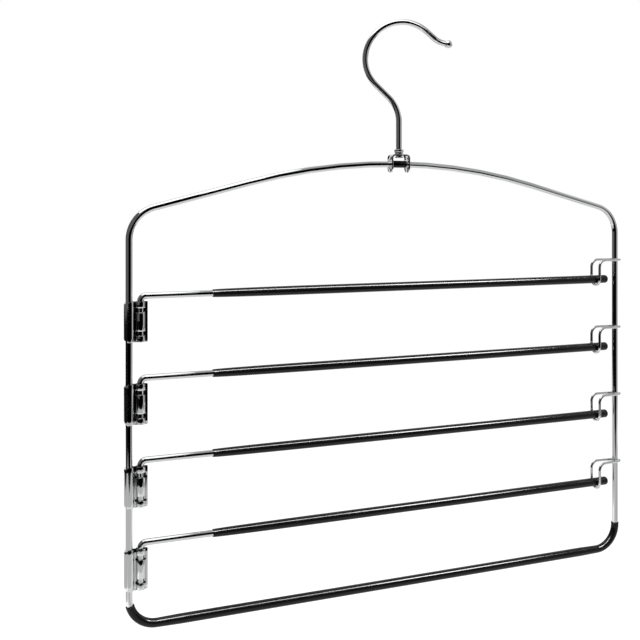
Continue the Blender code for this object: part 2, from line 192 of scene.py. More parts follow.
floor_mesh = bmesh.new()
bmesh.ops.create_grid(floor_mesh, x_segments=1, y_segments=1, size=FLOOR_HALF)
bmesh.ops.translate(floor_mesh, verts=floor_mesh.verts, vec=DOWN * (FLOOR_DROP - engineering_box[0][2]))
floor_data = bpy.data.meshes.new("floor")
floor_mesh.to_mesh(floor_data)
floor_mesh.free()
floor = bpy.data.objects.new("floor", floor_data)
bpy.context.scene.collection.objects.link(floor)

floor_look = bpy.data.materials.new("pale_floor")
floor_look.use_nodes = True
tree = floor_look.node_tree
paint = tree.nodes["Principled BSDF"]
paint.inputs["Base Color"].default_value = (FLOOR_PAINT, FLOOR_PAINT, FLOOR_PAINT, 1)
paint.inputs["Roughness"].default_value = FLOOR_ROUGHNESS
paint.inputs["Specular IOR Level"].default_value = 0
paint.inputs["Emission Color"].default_value = WHITE
glow = calculate(tree, "MULTIPLY", seen_or_reflected(tree), FLOOR_GLOW)
tree.links.new(glow, paint.inputs["Emission Strength"])
floor_data.materials.append(floor_look)
print("the floor lies at", round(engineering_box[0][2] - FLOOR_DROP, 3))

# %% [markdown]
# Each card is a thin slab, written as where it starts and ends to the right, away from the
# camera and upwards, and how bright it is. Most stand in one of two planes in front of the
# hanger, on its left or overhead. A card's name says what it puts into the chrome.

# %% Stand up the cards
NEAR = (-0.42, -0.40)
NEXT = (-0.46, -0.44)
LEFT_SIDE = (-0.62, -0.60)
OVERHEAD = (1.00, 1.02)
CARDS = {
    "front_black": ((-0.22, 0.21), NEAR, (-0.10, 0.18), 0),
    "high_black": ((0.0, 0.30), NEAR, (0.18, 0.34), 0.02),
    "high_left_black": ((-0.26, -0.10), NEAR, (0.18, 0.36), 0),
    "middle_black": ((-0.42, 0.22), NEAR, (-0.25, -0.10), 0),
    "low_black": ((-0.62, 0.22), NEAR, (-0.43, -0.25), 0),
    "black_finger": ((0.21, 0.33), NEAR, (-0.40, -0.06), 0.01),
    "grey_finger": ((0.33, 0.48), NEAR, (-0.38, -0.12), 0.2),
    "front_left_grey": ((-0.62, -0.20), NEXT, (-0.25, 0.40), 0.16),
    "left_grey": (LEFT_SIDE, (-0.44, 1.00), (-0.25, 0.50), 0.16),
    "left_black": (LEFT_SIDE, (-0.44, 1.00), (-0.43, -0.25), 0.01),
    "low_left_grey": (LEFT_SIDE, (-0.44, 0.40), (-0.59, -0.43), 0.78),
    "low_front_grey": ((-0.62, 0.85), NEXT, (-0.60, -0.43), 0.78),
    "low_left_white": (LEFT_SIDE, (-0.44, 0.40), (-0.75, -0.60), 1.7),
    "front_right_grey": ((0.20, 0.85), NEXT, (-0.43, 0.18), 0.52),
    "right_grey": ((0.85, 0.87), (-0.95, -0.30), (-0.60, 0.60), 0.6),
    "right_black": ((0.83, 0.84), (-0.40, 0.0), (-0.62, -0.48), 0.02),
    "front_white": ((-1.2, 0.30), (-1.02, -1.00), (0.42, 1.00), 2.2),
    "ceiling_white": ((-1.2, 0.15), (-1.00, 0.60), OVERHEAD, 2.2),
    "ceiling_grey": ((0.15, 1.4), (-1.00, 0.60), OVERHEAD, 0.6),
    "rear_black": ((-0.25, 0.25), (0.80, 0.82), (-0.45, 0.20), 0),
    "right_far_black": ((0.84, 0.85), (0.02, 0.60), (-0.45, 0.10), 0.02),
}


def stand_card(name, spans, brightness):
    """A card that fills three spans, seen only in reflections."""
    shape = bmesh.new()
    bmesh.ops.create_cube(shape, size=1)
    low, high = (Vector(ends) for ends in zip(*spans))
    bmesh.ops.scale(shape, verts=shape.verts, vec=high - low)
    bmesh.ops.translate(shape, verts=shape.verts, vec=(low + high) / 2)
    data = bpy.data.meshes.new(name)
    shape.to_mesh(data)
    shape.free()
    card = bpy.data.objects.new(name, data)
    bpy.context.scene.collection.objects.link(card)
    look = bpy.data.materials.new(name)
    look.use_nodes = True
    nodes = look.node_tree.nodes
    nodes.remove(nodes["Principled BSDF"])
    glow = nodes.new("ShaderNodeEmission")
    glow.inputs["Color"].default_value = WHITE
    glow.inputs["Strength"].default_value = brightness
    look.node_tree.links.new(glow.outputs[0], nodes["Material Output"].inputs["Surface"])
    data.materials.append(look)
    card.visible_camera = False
    card.visible_diffuse = False
    card.visible_transmission = False
    card.visible_shadow = False
    print(name, "shines at", brightness)


for name, (*spans, brightness) in CARDS.items():
    stand_card(name, spans, brightness)

# %% [markdown]
# Two lamps light the hanger: a wide soft box overhead, and a strip that later shines on the
# sleeves alone. Both face the middle of the frame.

# %% Hang the lamps
LAMP_AIM = Vector((0, 0, -0.2))
SOFT_BOX_PLACE = Vector((0, -0.35, 1.3))
SOFT_BOX_SIZE = (2.2, 1.6)
SOFT_BOX_POWER = 14
STRIP_PLACE = Vector((0, -0.70, 0.95))
STRIP_SIZE = (2.4, 0.6)
STRIP_POWER = 400


def hang_lamp(name, place, size, power):
    """A rectangular lamp that faces the middle of the frame."""
    data = bpy.data.lights.new(name, "AREA")
    data.shape = "RECTANGLE"
    data.size, data.size_y = size
    data.energy = power
    lamp = bpy.data.objects.new(name, data)
    lamp.location = place
    lamp.rotation_euler = (LAMP_AIM - place).to_track_quat("-Z", "Y").to_euler()
    bpy.context.scene.collection.objects.link(lamp)
    return lamp


hang_lamp("soft_box", SOFT_BOX_PLACE, SOFT_BOX_SIZE, SOFT_BOX_POWER)
sleeve_strip = hang_lamp("sleeve_strip", STRIP_PLACE, STRIP_SIZE, STRIP_POWER)
sleeve_strip.visible_camera = False

# %% [markdown]
# ## Two effects that the finishes share
# Plated wire isn't a perfect mirror: the drawing die leaves faint waves along it and the
# plating is a little cloudy in places, and everything that is handled carries some dust.
# Each effect is a node group with named inputs, built once and placed in each material with
# its own values. The groups only put out values and masks, and the shaders stay in the
# materials.

# %% Build the cloud group
CLOUD_DETAIL = 4
CLOUD_ROUGHNESS = 0.6
CLOUD_FLOOR = 0.35
CLOUD_CEILING = 0.7
CLOUD_INPUTS = {"Size": 0.02, "Low": 0.04, "High": 0.12}


def new_group(name, inputs, output):
    """An empty shader node group with number inputs and one number output."""
    group = bpy.data.node_groups.new(name, "ShaderNodeTree")
    for label, value in inputs.items():
        socket = group.interface.new_socket(label, in_out="INPUT", socket_type="NodeSocketFloat")
        socket.default_value = value
    group.interface.new_socket(output, in_out="OUTPUT", socket_type="NodeSocketFloat")
    given = group.nodes.new("NodeGroupInput").outputs
    return group, given, group.nodes.new("NodeGroupOutput").inputs[output]


def fill_inputs(tree, node, **values):
    """Set or link a node's inputs by name, with _ for a space."""
    for label, value in values.items():
        set_or_link(tree, node.inputs[label.replace("_", " ")], value)
    return node


def add_pattern(tree, kind, size, **values):
    """A texture on Object coordinates whose features are about as big as a size."""
    place = tree.nodes.new("ShaderNodeTexCoord").outputs["Object"]
    pitch = calculate(tree, "DIVIDE", 1, size)
    return fill_inputs(tree, tree.nodes.new(kind), Vector=place, Scale=pitch, **values)


clouds, given, result = new_group("plating_clouds", CLOUD_INPUTS, "Value")
noise = add_pattern(
    clouds, "ShaderNodeTexNoise", given["Size"], Detail=CLOUD_DETAIL, Roughness=CLOUD_ROUGHNESS)
spread = clouds.nodes.new("ShaderNodeMapRange")
fill_inputs(
    clouds, spread, Value=noise.outputs["Fac"], From_Min=CLOUD_FLOOR, From_Max=CLOUD_CEILING,
    To_Min=given["Low"], To_Max=given["High"])
clouds.links.new(spread.outputs["Result"], result)
print("group:", clouds.name)

# %% [markdown]
# Dust is a pattern of cells. A speck is the middle of a cell, and only some cells have one,
# picked by the random colour that each cell carries.

# %% Build the speck group
SPECK_INPUTS = {"Spacing": 0.004, "Speck": 0.12, "Amount": 0.5}

specks, given, result = new_group("dust_specks", SPECK_INPUTS, "Mask")
cells = add_pattern(specks, "ShaderNodeTexVoronoi", given["Spacing"])
near = calculate(specks, "LESS_THAN", cells.outputs["Distance"], given["Speck"])
chosen = calculate(specks, "LESS_THAN", cells.outputs["Color"], given["Amount"])
specks.links.new(calculate(specks, "MULTIPLY", near, chosen), result)
print("group:", specks.name)

# %% [markdown]
# ## Chrome and black sleeve
# Chrome is a metal that gives back a little over half of the light. A little roughness that
# comes and goes keeps it from looking like a computed mirror, and a few dust specks lie on
# it. The sleeves are glossy plastic of a very dark colour: their shine has to stay sharp,
# because the bright line along each sleeve is what shows that it is round. Both finishes lay
# their dust and raise their relief in the same way, so two helpers do that.


# %% Write the helpers of the finishes
def place_group(tree, group, **values):
    """Put a group in a material's tree with its own values."""
    node = tree.nodes.new("ShaderNodeGroup")
    node.node_tree = group
    return fill_inputs(tree, node, **values).outputs[0]


def lay_dust(tree, shader, colour, dust_colour, **values):
    """Colour the shader, with specks of another colour, and give back the specks' mask."""
    mask = place_group(tree, specks, **values)
    tint = tree.nodes.new("ShaderNodeMix")
    tint.data_type = "RGBA"
    tint.inputs["A"].default_value = (*colour, 1)
    tint.inputs["B"].default_value = (*dust_colour, 1)
    tree.links.new(mask, tint.inputs["Factor"])
    tree.links.new(tint.outputs["Result"], shader.inputs["Base Color"])
    return mask


def raise_relief(tree, shader, size, height):
    """Waves or grain of a size and a height, through the shader's normal."""
    waves = place_group(tree, clouds, Size=size, Low=0, High=1)
    bump = tree.nodes.new("ShaderNodeBump")
    fill_inputs(tree, bump, Height=waves, Strength=1, Distance=height)
    tree.links.new(bump.outputs["Normal"], shader.inputs["Normal"])


print("the finishes share", clouds.name, "and", specks.name)

# %% Mix the chromes
BRIGHT_CHROME = (0.55, 0.555, 0.555)
PLAIN_CHROME = (0.54, 0.545, 0.545)
WIRE_DUST = (0.42, 0.42, 0.41)
SHEET_DUST = (0.40, 0.40, 0.39)
FRAME_ROUGHNESS = (0.02, 0.045)
ARM_ROUGHNESS = (0.025, 0.05)
SHEET_ROUGHNESS = (0.05, 0.09)
DUST_ROUGHNESS = 0.3
CHROME_SPECKS = {"Spacing": 0.0032, "Speck": 0.045, "Amount": 0.35}
CHROME_CLOUD = 0.012
WAVE_SIZE = 0.02
WAVE_HEIGHT = 0.000008


def mix_chrome(name, colour, dust_colour, roughness):
    """A chrome whose roughness wanders between two values, and is duller under dust."""
    look = bpy.data.materials.new(name)
    look.use_nodes = True
    tree = look.node_tree
    shader = tree.nodes["Principled BSDF"]
    shader.inputs["Metallic"].default_value = 1
    mask = lay_dust(tree, shader, colour, dust_colour, **CHROME_SPECKS)
    cloudy = place_group(tree, clouds, Size=CHROME_CLOUD, Low=roughness[0], High=roughness[1])
    rough = calculate(tree, "MAXIMUM", cloudy, calculate(tree, "MULTIPLY", mask, DUST_ROUGHNESS))
    tree.links.new(rough, shader.inputs["Roughness"])
    raise_relief(tree, shader, WAVE_SIZE, WAVE_HEIGHT)
    return look


chrome_look = mix_chrome("bright_chrome", BRIGHT_CHROME, WIRE_DUST, FRAME_ROUGHNESS)
arm_look = mix_chrome("arm_wire_chrome", PLAIN_CHROME, WIRE_DUST, ARM_ROUGHNESS)
sheet_look = mix_chrome("pressed_sheet_chrome", PLAIN_CHROME, SHEET_DUST, SHEET_ROUGHNESS)
print("chromes:", chrome_look.name, arm_look.name, sheet_look.name)

# %% Mix the sleeve black
SLEEVE_BLACK = (0.0005, 0.0005, 0.0006)
SLEEVE_DUST = (0.01, 0.01, 0.01)
SLEEVE_SPECKS = {"Spacing": 0.0026, "Speck": 0.05, "Amount": 0.4}
SLEEVE_SHINE = 0.2
SLEEVE_CLOUD = 0.009
SLEEVE_ROUGHNESS = (0.09, 0.15)
GRAIN_SIZE = 0.0008
GRAIN_HEIGHT = 0.000002

sleeve_look = bpy.data.materials.new("black_sleeve_plastic")
sleeve_look.use_nodes = True
tree = sleeve_look.node_tree
shader = tree.nodes["Principled BSDF"]
shader.inputs["Specular IOR Level"].default_value = SLEEVE_SHINE
lay_dust(tree, shader, SLEEVE_BLACK, SLEEVE_DUST, **SLEEVE_SPECKS)
cloudy = place_group(
    tree, clouds, Size=SLEEVE_CLOUD, Low=SLEEVE_ROUGHNESS[0], High=SLEEVE_ROUGHNESS[1])
tree.links.new(cloudy, shader.inputs["Roughness"])
raise_relief(tree, shader, GRAIN_SIZE, GRAIN_HEIGHT)
print("sleeve:", sleeve_look.name)

# %% [markdown]
# ## The wire bender
# A real bender feeds a straight wire and turns it round a die. The helper does the same with
# bmesh: extrude is the feed and spin is the bend. It starts from a circle for wire or from a
# short straight edge for sheet, and the section always stays square to its heading. A curve
# with a bevel would be quicker, but its corners would need many points worked out by hand.

# %% Build the bender
WIRE_SIDES = 32
STEP_ANGLE = math.radians(3)
WELD_REACH = 0.00005


class Bender:
    """Grows a shape from a section by feeding it forward and bending it."""

    def __init__(self, place, heading, radius=None, sheet_edge=None, sides=WIRE_SIDES):
        """Start with a circle for wire, or with a straight edge for sheet."""
        self.shape = bmesh.new()
        self.place = Vector(place)
        self.heading = Vector(heading).normalized()
        self.radius = radius
        if sheet_edge is None:
            bmesh.ops.create_circle(self.shape, cap_ends=False, radius=radius, segments=sides)
            turn = UP.rotation_difference(self.heading).to_matrix().to_4x4()
            bmesh.ops.transform(
                self.shape, verts=self.shape.verts, matrix=Matrix.Translation(self.place) @ turn)
        else:
            spots = [self.shape.verts.new(spot) for spot in sheet_edge]
            for pair in zip(spots, spots[1:]):
                self.shape.edges.new(pair)
        self.section = self.shape.edges[:]
        self.first = self.shape.verts[:]

    def corners(self):
        """The corners of the section."""
        return list({corner for edge in self.section for corner in edge.verts})

    def feed(self, length, radius=None):
        """Push the section forward; a new radius makes it swell or shrink on the way."""
        grown = bmesh.ops.extrude_edge_only(self.shape, edges=self.section)
        self.section = [item for item in grown["geom"] if isinstance(item, bmesh.types.BMEdge)]
        self.section = [edge for edge in self.section if len(edge.link_faces) == 1]
        bmesh.ops.translate(self.shape, verts=self.corners(), vec=self.heading * length)
        self.place = self.place + self.heading * length
        if radius is not None:
            share = radius / self.radius
            bmesh.ops.scale(
                self.shape, verts=self.corners(), vec=(share, share, share),
                space=Matrix.Translation(-self.place))
            self.radius = radius

    def turn_about(self, centre, axis, angle):
        """Carry the section round an axis, as round a die."""
        steps = max(2, math.ceil(angle / STEP_ANGLE))
        result = bmesh.ops.spin(
            self.shape, geom=self.section + self.corners(), cent=centre, axis=axis,
            angle=angle, steps=steps, use_merge=False)
        self.section = [item for item in result["geom_last"] if isinstance(item, bmesh.types.BMEdge)]
        turn = Matrix.Rotation(angle, 3, axis)
        self.place = centre + turn @ (self.place - centre)
        self.heading = turn @ self.heading

    def bend(self, towards, radius, angle):
        """Bend towards a direction, round a die of the given centre line radius."""
        side = (towards - self.heading * towards.dot(self.heading)).normalized()
        self.turn_about(self.place + side * radius, self.heading.cross(side), angle)

    def close_ends(self):
        """Cap both ends of an open wire."""
        bmesh.ops.holes_fill(self.shape, edges=[edge for edge in self.shape.edges if edge.is_boundary])

    def weld(self):
        """Join the last section to the first one."""
        bmesh.ops.remove_doubles(self.shape, verts=self.corners() + self.first, dist=WELD_REACH)

    def finish(self, name, matrix=None):
        """Turn the faces outwards, put the shape in place and make an object of it."""
        bmesh.ops.recalc_face_normals(self.shape, faces=self.shape.faces)
        if matrix is not None:
            bmesh.ops.transform(self.shape, verts=self.shape.verts, matrix=matrix)
        return add_piece(name, self.shape)


print("a quarter bend takes", math.ceil(math.pi / 2 / STEP_ANGLE), "steps")

# %% [markdown]
# A finished shape becomes an object at the origin, with its place in its mesh, so that a
# pattern on Object coordinates can't slide. Round faces are shaded smooth, and edges sharper
# than an angle stay sharp. The piece then gets its finish, its body and the engineering nodes
# that it stands for.


# %% Write the helpers for pieces
SMOOTH_ANGLE = math.radians(38)


def add_piece(name, shape):
    """An object at the origin with the shape as its mesh."""
    data = bpy.data.meshes.new(name)
    shape.to_mesh(data)
    shape.free()
    data.shade_smooth()
    data.set_sharp_from_angle(angle=SMOOTH_ANGLE)
    piece = bpy.data.objects.new(name, data)
    bpy.context.scene.collection.objects.link(piece)
    return piece


def dress(piece, look, body, slot, *nodes):
    """Give a piece its finish and its body, and let it stand for its engineering nodes."""
    piece.data.materials.clear()
    piece.data.materials.append(look)
    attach(piece, body)
    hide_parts(*nodes)
    print(piece.name, "has", len(piece.data.polygons), "faces and rides on", body)


print("edges sharper than", round(math.degrees(SMOOTH_ANGLE)), "degrees stay sharp")

# %% [markdown]
# ## The frame wire
# One wire makes the whole frame. On the real hanger it is bent to a low arch, two shoulders
# and a flat bottom, and butt welded under the bottom sleeve. It could be built as one half
# and mirrored, but a bender has no mirror: it starts in the middle of the bottom, goes once
# round and is welded where it started, and the gap that it leaves shows whether the sizes
# agree.

# %% Bend the frame
CROWN_WIDTH = 0.225
ARCH_SLOPE = math.radians(14.5)
SHOULDER_RADIUS = 0.0215
CORNER_RADIUS = 0.018

crown_radius = CROWN_WIDTH / 2 / math.sin(ARCH_SLOPE)
crown_end_z = pivot.z - crown_radius * (1 - math.cos(ARCH_SLOPE))
half_bottom = (right_x - left_x) / 2 - CORNER_RADIUS
shoulder_reach = (right_x - left_x) / 2 - SHOULDER_RADIUS * (1 - math.sin(ARCH_SLOPE))
slant = (shoulder_reach - CROWN_WIDTH / 2) / math.cos(ARCH_SLOPE)
shoulder_start_z = crown_end_z - slant * math.sin(ARCH_SLOPE)
shoulder_z = shoulder_start_z - SHOULDER_RADIUS * math.cos(ARCH_SLOPE)
upright_length = shoulder_z - bottom_z - CORNER_RADIUS

start = Vector((middle_x, 0, bottom_z))
wire = Bender(start, RIGHT, FRAME_WIRE / 2)
wire.feed(half_bottom)
wire.bend(UP, CORNER_RADIUS, math.pi / 2)
wire.feed(upright_length)
wire.bend(LEFT, SHOULDER_RADIUS, math.pi / 2 - ARCH_SLOPE)
wire.feed(slant)
wire.bend(DOWN, crown_radius, ARCH_SLOPE * 2)
wire.feed(slant)
wire.bend(DOWN, SHOULDER_RADIUS, math.pi / 2 - ARCH_SLOPE)
wire.feed(upright_length)
wire.bend(RIGHT, CORNER_RADIUS, math.pi / 2)
wire.feed(half_bottom)
print("the frame closes to within", round((wire.place - start).length * 1000, 4), "mm")
wire.weld()
frame_wire = wire.finish("frame_loop")
dress(frame_wire, chrome_look, "frame", "chrome", "frame_wire")

# %% [markdown]
# ## The hook
# The hook is one wire too. Its foot is riveted over below the saddle, so it can turn but not
# fall out. Above, the neck leans aside, and the bow brings the rail's contact point back
# over the middle. The tip flicks up and ends in a small ball that doesn't catch on cloth.

# %% Bend the hook
HOOK_RADIUS = 0.0263
HOOK_RISE = 0.0756
HOOK_SWAY = 0.0022
HOOK_TURN = math.radians(24)
NECK_LEAN = math.radians(45)
NECK_BEND_RADIUS = 0.024
TIP_SLOPE = math.radians(42.5)
TIP_RUN = 0.0072
TIP_BEND_RADIUS = 0.016
TIP_END_SLOPE = math.radians(10)
TIP_BALL = 0.0058
BALL_STEPS = 14
HOOK_HEAD = 0.0058
HOOK_HEAD_HEIGHT = 0.0013
HEAD_EDGE_SHARE = 0.3
HEAD_EDGE_STEP_SHARES = (0.4, 0.75, 1.0)
HEAD_SLOPE_SHARE = 0.6
HEAD_SHOULDER_SHARE = 0.5
HEAD_STEP = 0.00002

hook_foot_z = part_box("hook")[0].z - pivot.z
join_x = HOOK_RADIUS * math.cos(NECK_LEAN) - HOOK_SWAY
bend_x = NECK_BEND_RADIUS * (1 - math.cos(NECK_LEAN))
neck_slant = (join_x - bend_x) / math.sin(NECK_LEAN)
neck_bend_z = HOOK_RISE - (HOOK_RADIUS + NECK_BEND_RADIUS) * math.sin(NECK_LEAN)
neck_bend_z -= neck_slant * math.cos(NECK_LEAN)

head_radius = HOOK_HEAD / 2
head_edge = HOOK_HEAD_HEIGHT * HEAD_EDGE_SHARE
wire = Bender((0, 0, hook_foot_z), UP, head_radius - head_edge)
for share in HEAD_EDGE_STEP_SHARES:
    turn = share * math.pi / 2
    rise = head_edge * (1 - math.cos(turn))
    wire.feed(rise - (wire.place.z - hook_foot_z), head_radius - head_edge * (1 - math.sin(turn)))
wire.feed(HOOK_HEAD_HEIGHT - head_edge * (1 + HEAD_SLOPE_SHARE))
wire.feed(head_edge * HEAD_SLOPE_SHARE, HOOK_WIRE / 2 + head_edge * HEAD_SHOULDER_SHARE)
wire.feed(HEAD_STEP, HOOK_WIRE / 2)
wire.feed(neck_bend_z - wire.place.z)
wire.bend(LEFT, NECK_BEND_RADIUS, NECK_LEAN)
wire.feed(neck_slant)
wire.bend(RIGHT, HOOK_RADIUS, math.pi / 2 + NECK_LEAN + TIP_SLOPE)
wire.feed(TIP_RUN)
wire.bend(UP, TIP_BEND_RADIUS, TIP_SLOPE - TIP_END_SLOPE)
print("the neck runs straight for", round(neck_slant * 1000, 1), "mm")

# %% [markdown]
# The ball is upset from the same wire, so it is made by feeding short steps while the section
# swells and shrinks. A sphere could be joined on instead, but its seam would need a Boolean.

# %% Swell the ball
ball_radius = TIP_BALL / 2
start_turn = math.asin(HOOK_WIRE / TIP_BALL)
ball_centre = wire.place + wire.heading * ball_radius * math.cos(start_turn)
for step in range(1, BALL_STEPS):
    turn = start_turn + (math.pi - start_turn) * step / BALL_STEPS
    along = (wire.place - ball_centre).dot(wire.heading)
    wire.feed(-ball_radius * math.cos(turn) - along, ball_radius * math.sin(turn))
wire.close_ends()
hook_piece = wire.finish("swivel_hook", Matrix.Translation(pivot) @ Matrix.Rotation(-HOOK_TURN, 4, "Z"))
dress(hook_piece, chrome_look, "hook", "chrome", "hook")

# %% [markdown]
# ## Turned rings and sleeves
# The collar and the sleeves are round all the way, so each is half a section spun once round
# its axis. The bmesh spin operator does that from a few points joined by edges. Their
# corners are rounded with a bevel before the spin, while the section is still flat, which
# is cheaper than bevelling the finished ring.


# %% Build the lathe
LATHE_STEPS = 48
ROUNDING_SEGMENTS = 4
SEAM_REACH = 0.000005


def lathe(name, section, axis, place, rounding, rounded):
    """Spin (along, radius) pairs once round an axis; they close a loop if none is on the axis."""
    shape = bmesh.new()
    side = RIGHT if axis == UP else UP
    spots = [shape.verts.new(axis * along + side * radius) for along, radius in section]
    edges = [shape.edges.new(pair) for pair in zip(spots, spots[1:])]
    if min(radius for along, radius in section) > 0:
        edges.append(shape.edges.new((spots[-1], spots[0])))
    bmesh.ops.bevel(
        shape, geom=[spots[index] for index in rounded], offset=rounding, offset_type="OFFSET",
        affect="VERTICES", segments=ROUNDING_SEGMENTS, profile=0.5, material=-1)
    bmesh.ops.spin(
        shape, geom=shape.verts[:] + shape.edges[:], cent=(0, 0, 0), axis=axis,
        angle=math.tau, steps=LATHE_STEPS, use_merge=True)
    bmesh.ops.remove_doubles(shape, verts=shape.verts, dist=SEAM_REACH)
    bmesh.ops.recalc_face_normals(shape, faces=shape.faces)
    bmesh.ops.translate(shape, verts=shape.verts, vec=place)
    return add_piece(name, shape)


print("a turned piece has", LATHE_STEPS, "sides")

# %% [markdown]
# The collar is pressed onto the neck above the saddle. Its lower half is a little narrower
# than its upper lip, with a short slope between them. A plain ring would do the work, but the
# slope is what breaks the reflection into two bands.

# %% Turn the collar
COLLAR_STEP = 0.0003
COLLAR_ROUNDING = 0.00022
SLOPE_FOOT_SHARE = 0.42
SLOPE_TOP_SHARE = 0.52

collar_low, collar_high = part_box("hook_collar")
collar_radius = (collar_high.x - collar_low.x) / 2
collar_bore = HOOK_WIRE / 2 + SNUG_PLAY
collar_height = collar_high.z - collar_low.z
waist = collar_radius - COLLAR_STEP
section = [
    (0, collar_bore),
    (0, waist),
    (collar_height * SLOPE_FOOT_SHARE, waist),
    (collar_height * SLOPE_TOP_SHARE, collar_radius),
    (collar_height, collar_radius),
    (collar_height, collar_bore),
]
collar = lathe(
    "neck_collar", section, UP, Vector((0, 0, collar_low.z)), COLLAR_ROUNDING, (1, 2, 3, 4))
dress(collar, chrome_look, "hook", "chrome", "hook_collar")

# %% [markdown]
# A short black tube on the crown keeps the saddle from sliding along the wire. The crown is
# nearly straight over its length, so the tube is turned and not bent.

# %% Cut the crown tube
CROWN_TUBE_WALL = 0.00025
CROWN_TUBE_ROUNDING = 0.00015

tube_low, tube_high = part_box("saddle_sleeve")
tube_length = tube_high.x - tube_low.x
tube_bore = FRAME_WIRE / 2 + SNUG_PLAY
tube_radius = tube_bore + CROWN_TUBE_WALL
section = [(0, tube_bore), (0, tube_radius), (tube_length, tube_radius), (tube_length, tube_bore)]
crown_tube = lathe(
    "crown_tube", section, RIGHT, Vector((tube_low.x, 0, pivot.z)), CROWN_TUBE_ROUNDING, (1, 2))
dress(crown_tube, sleeve_look, "frame", "black_sleeve", "saddle_sleeve")

# %% [markdown]
# ## The saddle
# The saddle is a strip of sheet bent to an upside-down U. The bender works for sheet as
# well: its section is a straight edge as wide as the strip. The strip gets its thickness
# with Solidify, and the holes and the round leg ends are cut with Boolean, as a press would
# punch them. A small Bevel at the end takes the sharp edge off, which is what catches light.

# %% Bend the saddle strip
SADDLE_SHEET = 0.001
SADDLE_BEND_RADIUS = 0.0022

saddle_low, saddle_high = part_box("saddle")
half_width = (saddle_high.x - saddle_low.x - SADDLE_SHEET) / 2
half_depth = (saddle_high.y - saddle_low.y) / 2
leg_top = saddle_high.z - SADDLE_SHEET / 2 - SADDLE_BEND_RADIUS
strip_edge = [(-half_width, -half_depth, saddle_low.z), (-half_width, half_depth, saddle_low.z)]
strip = Bender((-half_width, 0, saddle_low.z), UP, sheet_edge=strip_edge)
strip.feed(leg_top - saddle_low.z)
strip.bend(RIGHT, SADDLE_BEND_RADIUS, math.pi / 2)
strip.feed((half_width - SADDLE_BEND_RADIUS) * 2)
strip.bend(DOWN, SADDLE_BEND_RADIUS, math.pi / 2)
strip.feed(leg_top - saddle_low.z)
saddle_piece = strip.finish("hook_saddle")
print("the legs stand", round(half_width * 2 * 1000, 2), "mm apart")

# %% [markdown]
# A press cuts sheet with punches. Here a punch is a cylinder that a Boolean takes away from
# the sheet. The modifiers are applied at once, so the mesh is final and the punches can be
# deleted. A round hole could also be built into the strip, but it would need its own ring of
# points on both legs.


# %% Write the helpers for punching sheet
PUNCH_SIDES = 48
EDGE_ANGLE = math.radians(40)
EDGE_SEGMENTS = 2


def add_cutter(axis, radius, centre, length):
    """A round punch along an axis."""
    punch = bmesh.new()
    bmesh.ops.create_cone(
        punch, cap_ends=True, segments=PUNCH_SIDES, radius1=radius, radius2=radius, depth=length)
    turn = UP.rotation_difference(axis).to_matrix().to_4x4()
    bmesh.ops.transform(punch, verts=punch.verts, matrix=Matrix.Translation(centre) @ turn)
    return add_piece("punch", punch)


def apply_modifiers(piece, *helpers):
    """Keep the evaluated mesh, and remove the modifiers and the helper objects."""
    graph = bpy.context.evaluated_depsgraph_get()
    finished = bpy.data.meshes.new_from_object(piece.evaluated_get(graph))
    piece.modifiers.clear()
    piece.data = finished
    for helper in helpers:
        bpy.data.objects.remove(helper)
    finished.shade_smooth()
    finished.set_sharp_from_angle(angle=SMOOTH_ANGLE)


def cut_sheet(piece, thickness, punches, edge):
    """Thicken a sheet, punch it, and break its edges."""
    wall = piece.modifiers.new("sheet", "SOLIDIFY")
    wall.thickness = thickness
    wall.offset = 0
    wall.use_even_offset = True
    for operation, punch in punches:
        cut = piece.modifiers.new("punch", "BOOLEAN")
        cut.operation = operation
        cut.object = punch
    softened = piece.modifiers.new("edge", "BEVEL")
    softened.width = edge
    softened.segments = EDGE_SEGMENTS
    softened.limit_method = "ANGLE"
    softened.angle_limit = EDGE_ANGLE
    apply_modifiers(piece, *[punch for operation, punch in punches])


print("a punch has", PUNCH_SIDES, "sides")

# %% [markdown]
# The legs' round ends are what lies inside one long punch, a cylinder at the foot joined to a
# block above it. The wire's hole goes through both legs, and the hook's through the top.

# %% Punch the saddle
SADDLE_EDGE = 0.00006
PUNCH_PLAY = 0.0001
LEG_PUNCH_SHARE = 3
TOP_PUNCH_SHARE = 4

punch_length = half_width * LEG_PUNCH_SHARE
round_centre_z = saddle_low.z + half_depth
round_end = add_cutter(RIGHT, half_depth, Vector((0, 0, round_centre_z)), punch_length)
square_top = bmesh.new()
bmesh.ops.create_cube(square_top, size=1)
top_height = saddle_high.z - saddle_low.z
bmesh.ops.scale(square_top, verts=square_top.verts, vec=(punch_length, half_depth * 2, top_height))
bmesh.ops.translate(square_top, verts=square_top.verts, vec=UP * (round_centre_z + top_height / 2))
kept_top = add_piece("punch", square_top)
join = round_end.modifiers.new("join", "BOOLEAN")
join.operation = "UNION"
join.object = kept_top
apply_modifiers(round_end, kept_top)
wire_hole = add_cutter(RIGHT, FRAME_WIRE / 2 + PUNCH_PLAY, pivot, punch_length)
neck_hole = add_cutter(UP, HOOK_WIRE / 2 + PUNCH_PLAY, UP * saddle_high.z, SADDLE_SHEET * TOP_PUNCH_SHARE)
punches = [("INTERSECT", round_end), ("DIFFERENCE", wire_hole), ("DIFFERENCE", neck_hole)]
cut_sheet(saddle_piece, SADDLE_SHEET, punches, SADDLE_EDGE)
dress(saddle_piece, sheet_look, "saddle", "chrome", "saddle")

# %% [markdown]
# ## The bottom sleeve
# The bottom sleeve starts just inside the left corner, and goes round the right one and a
# little up the upright. It is bent like the wire, as an open tube, and Solidify gives it its
# wall inwards. The tube is narrower at its two mouths, where it grips the wire. Its radius is
# a hair under the engineering model's, so that it stays inside that one.

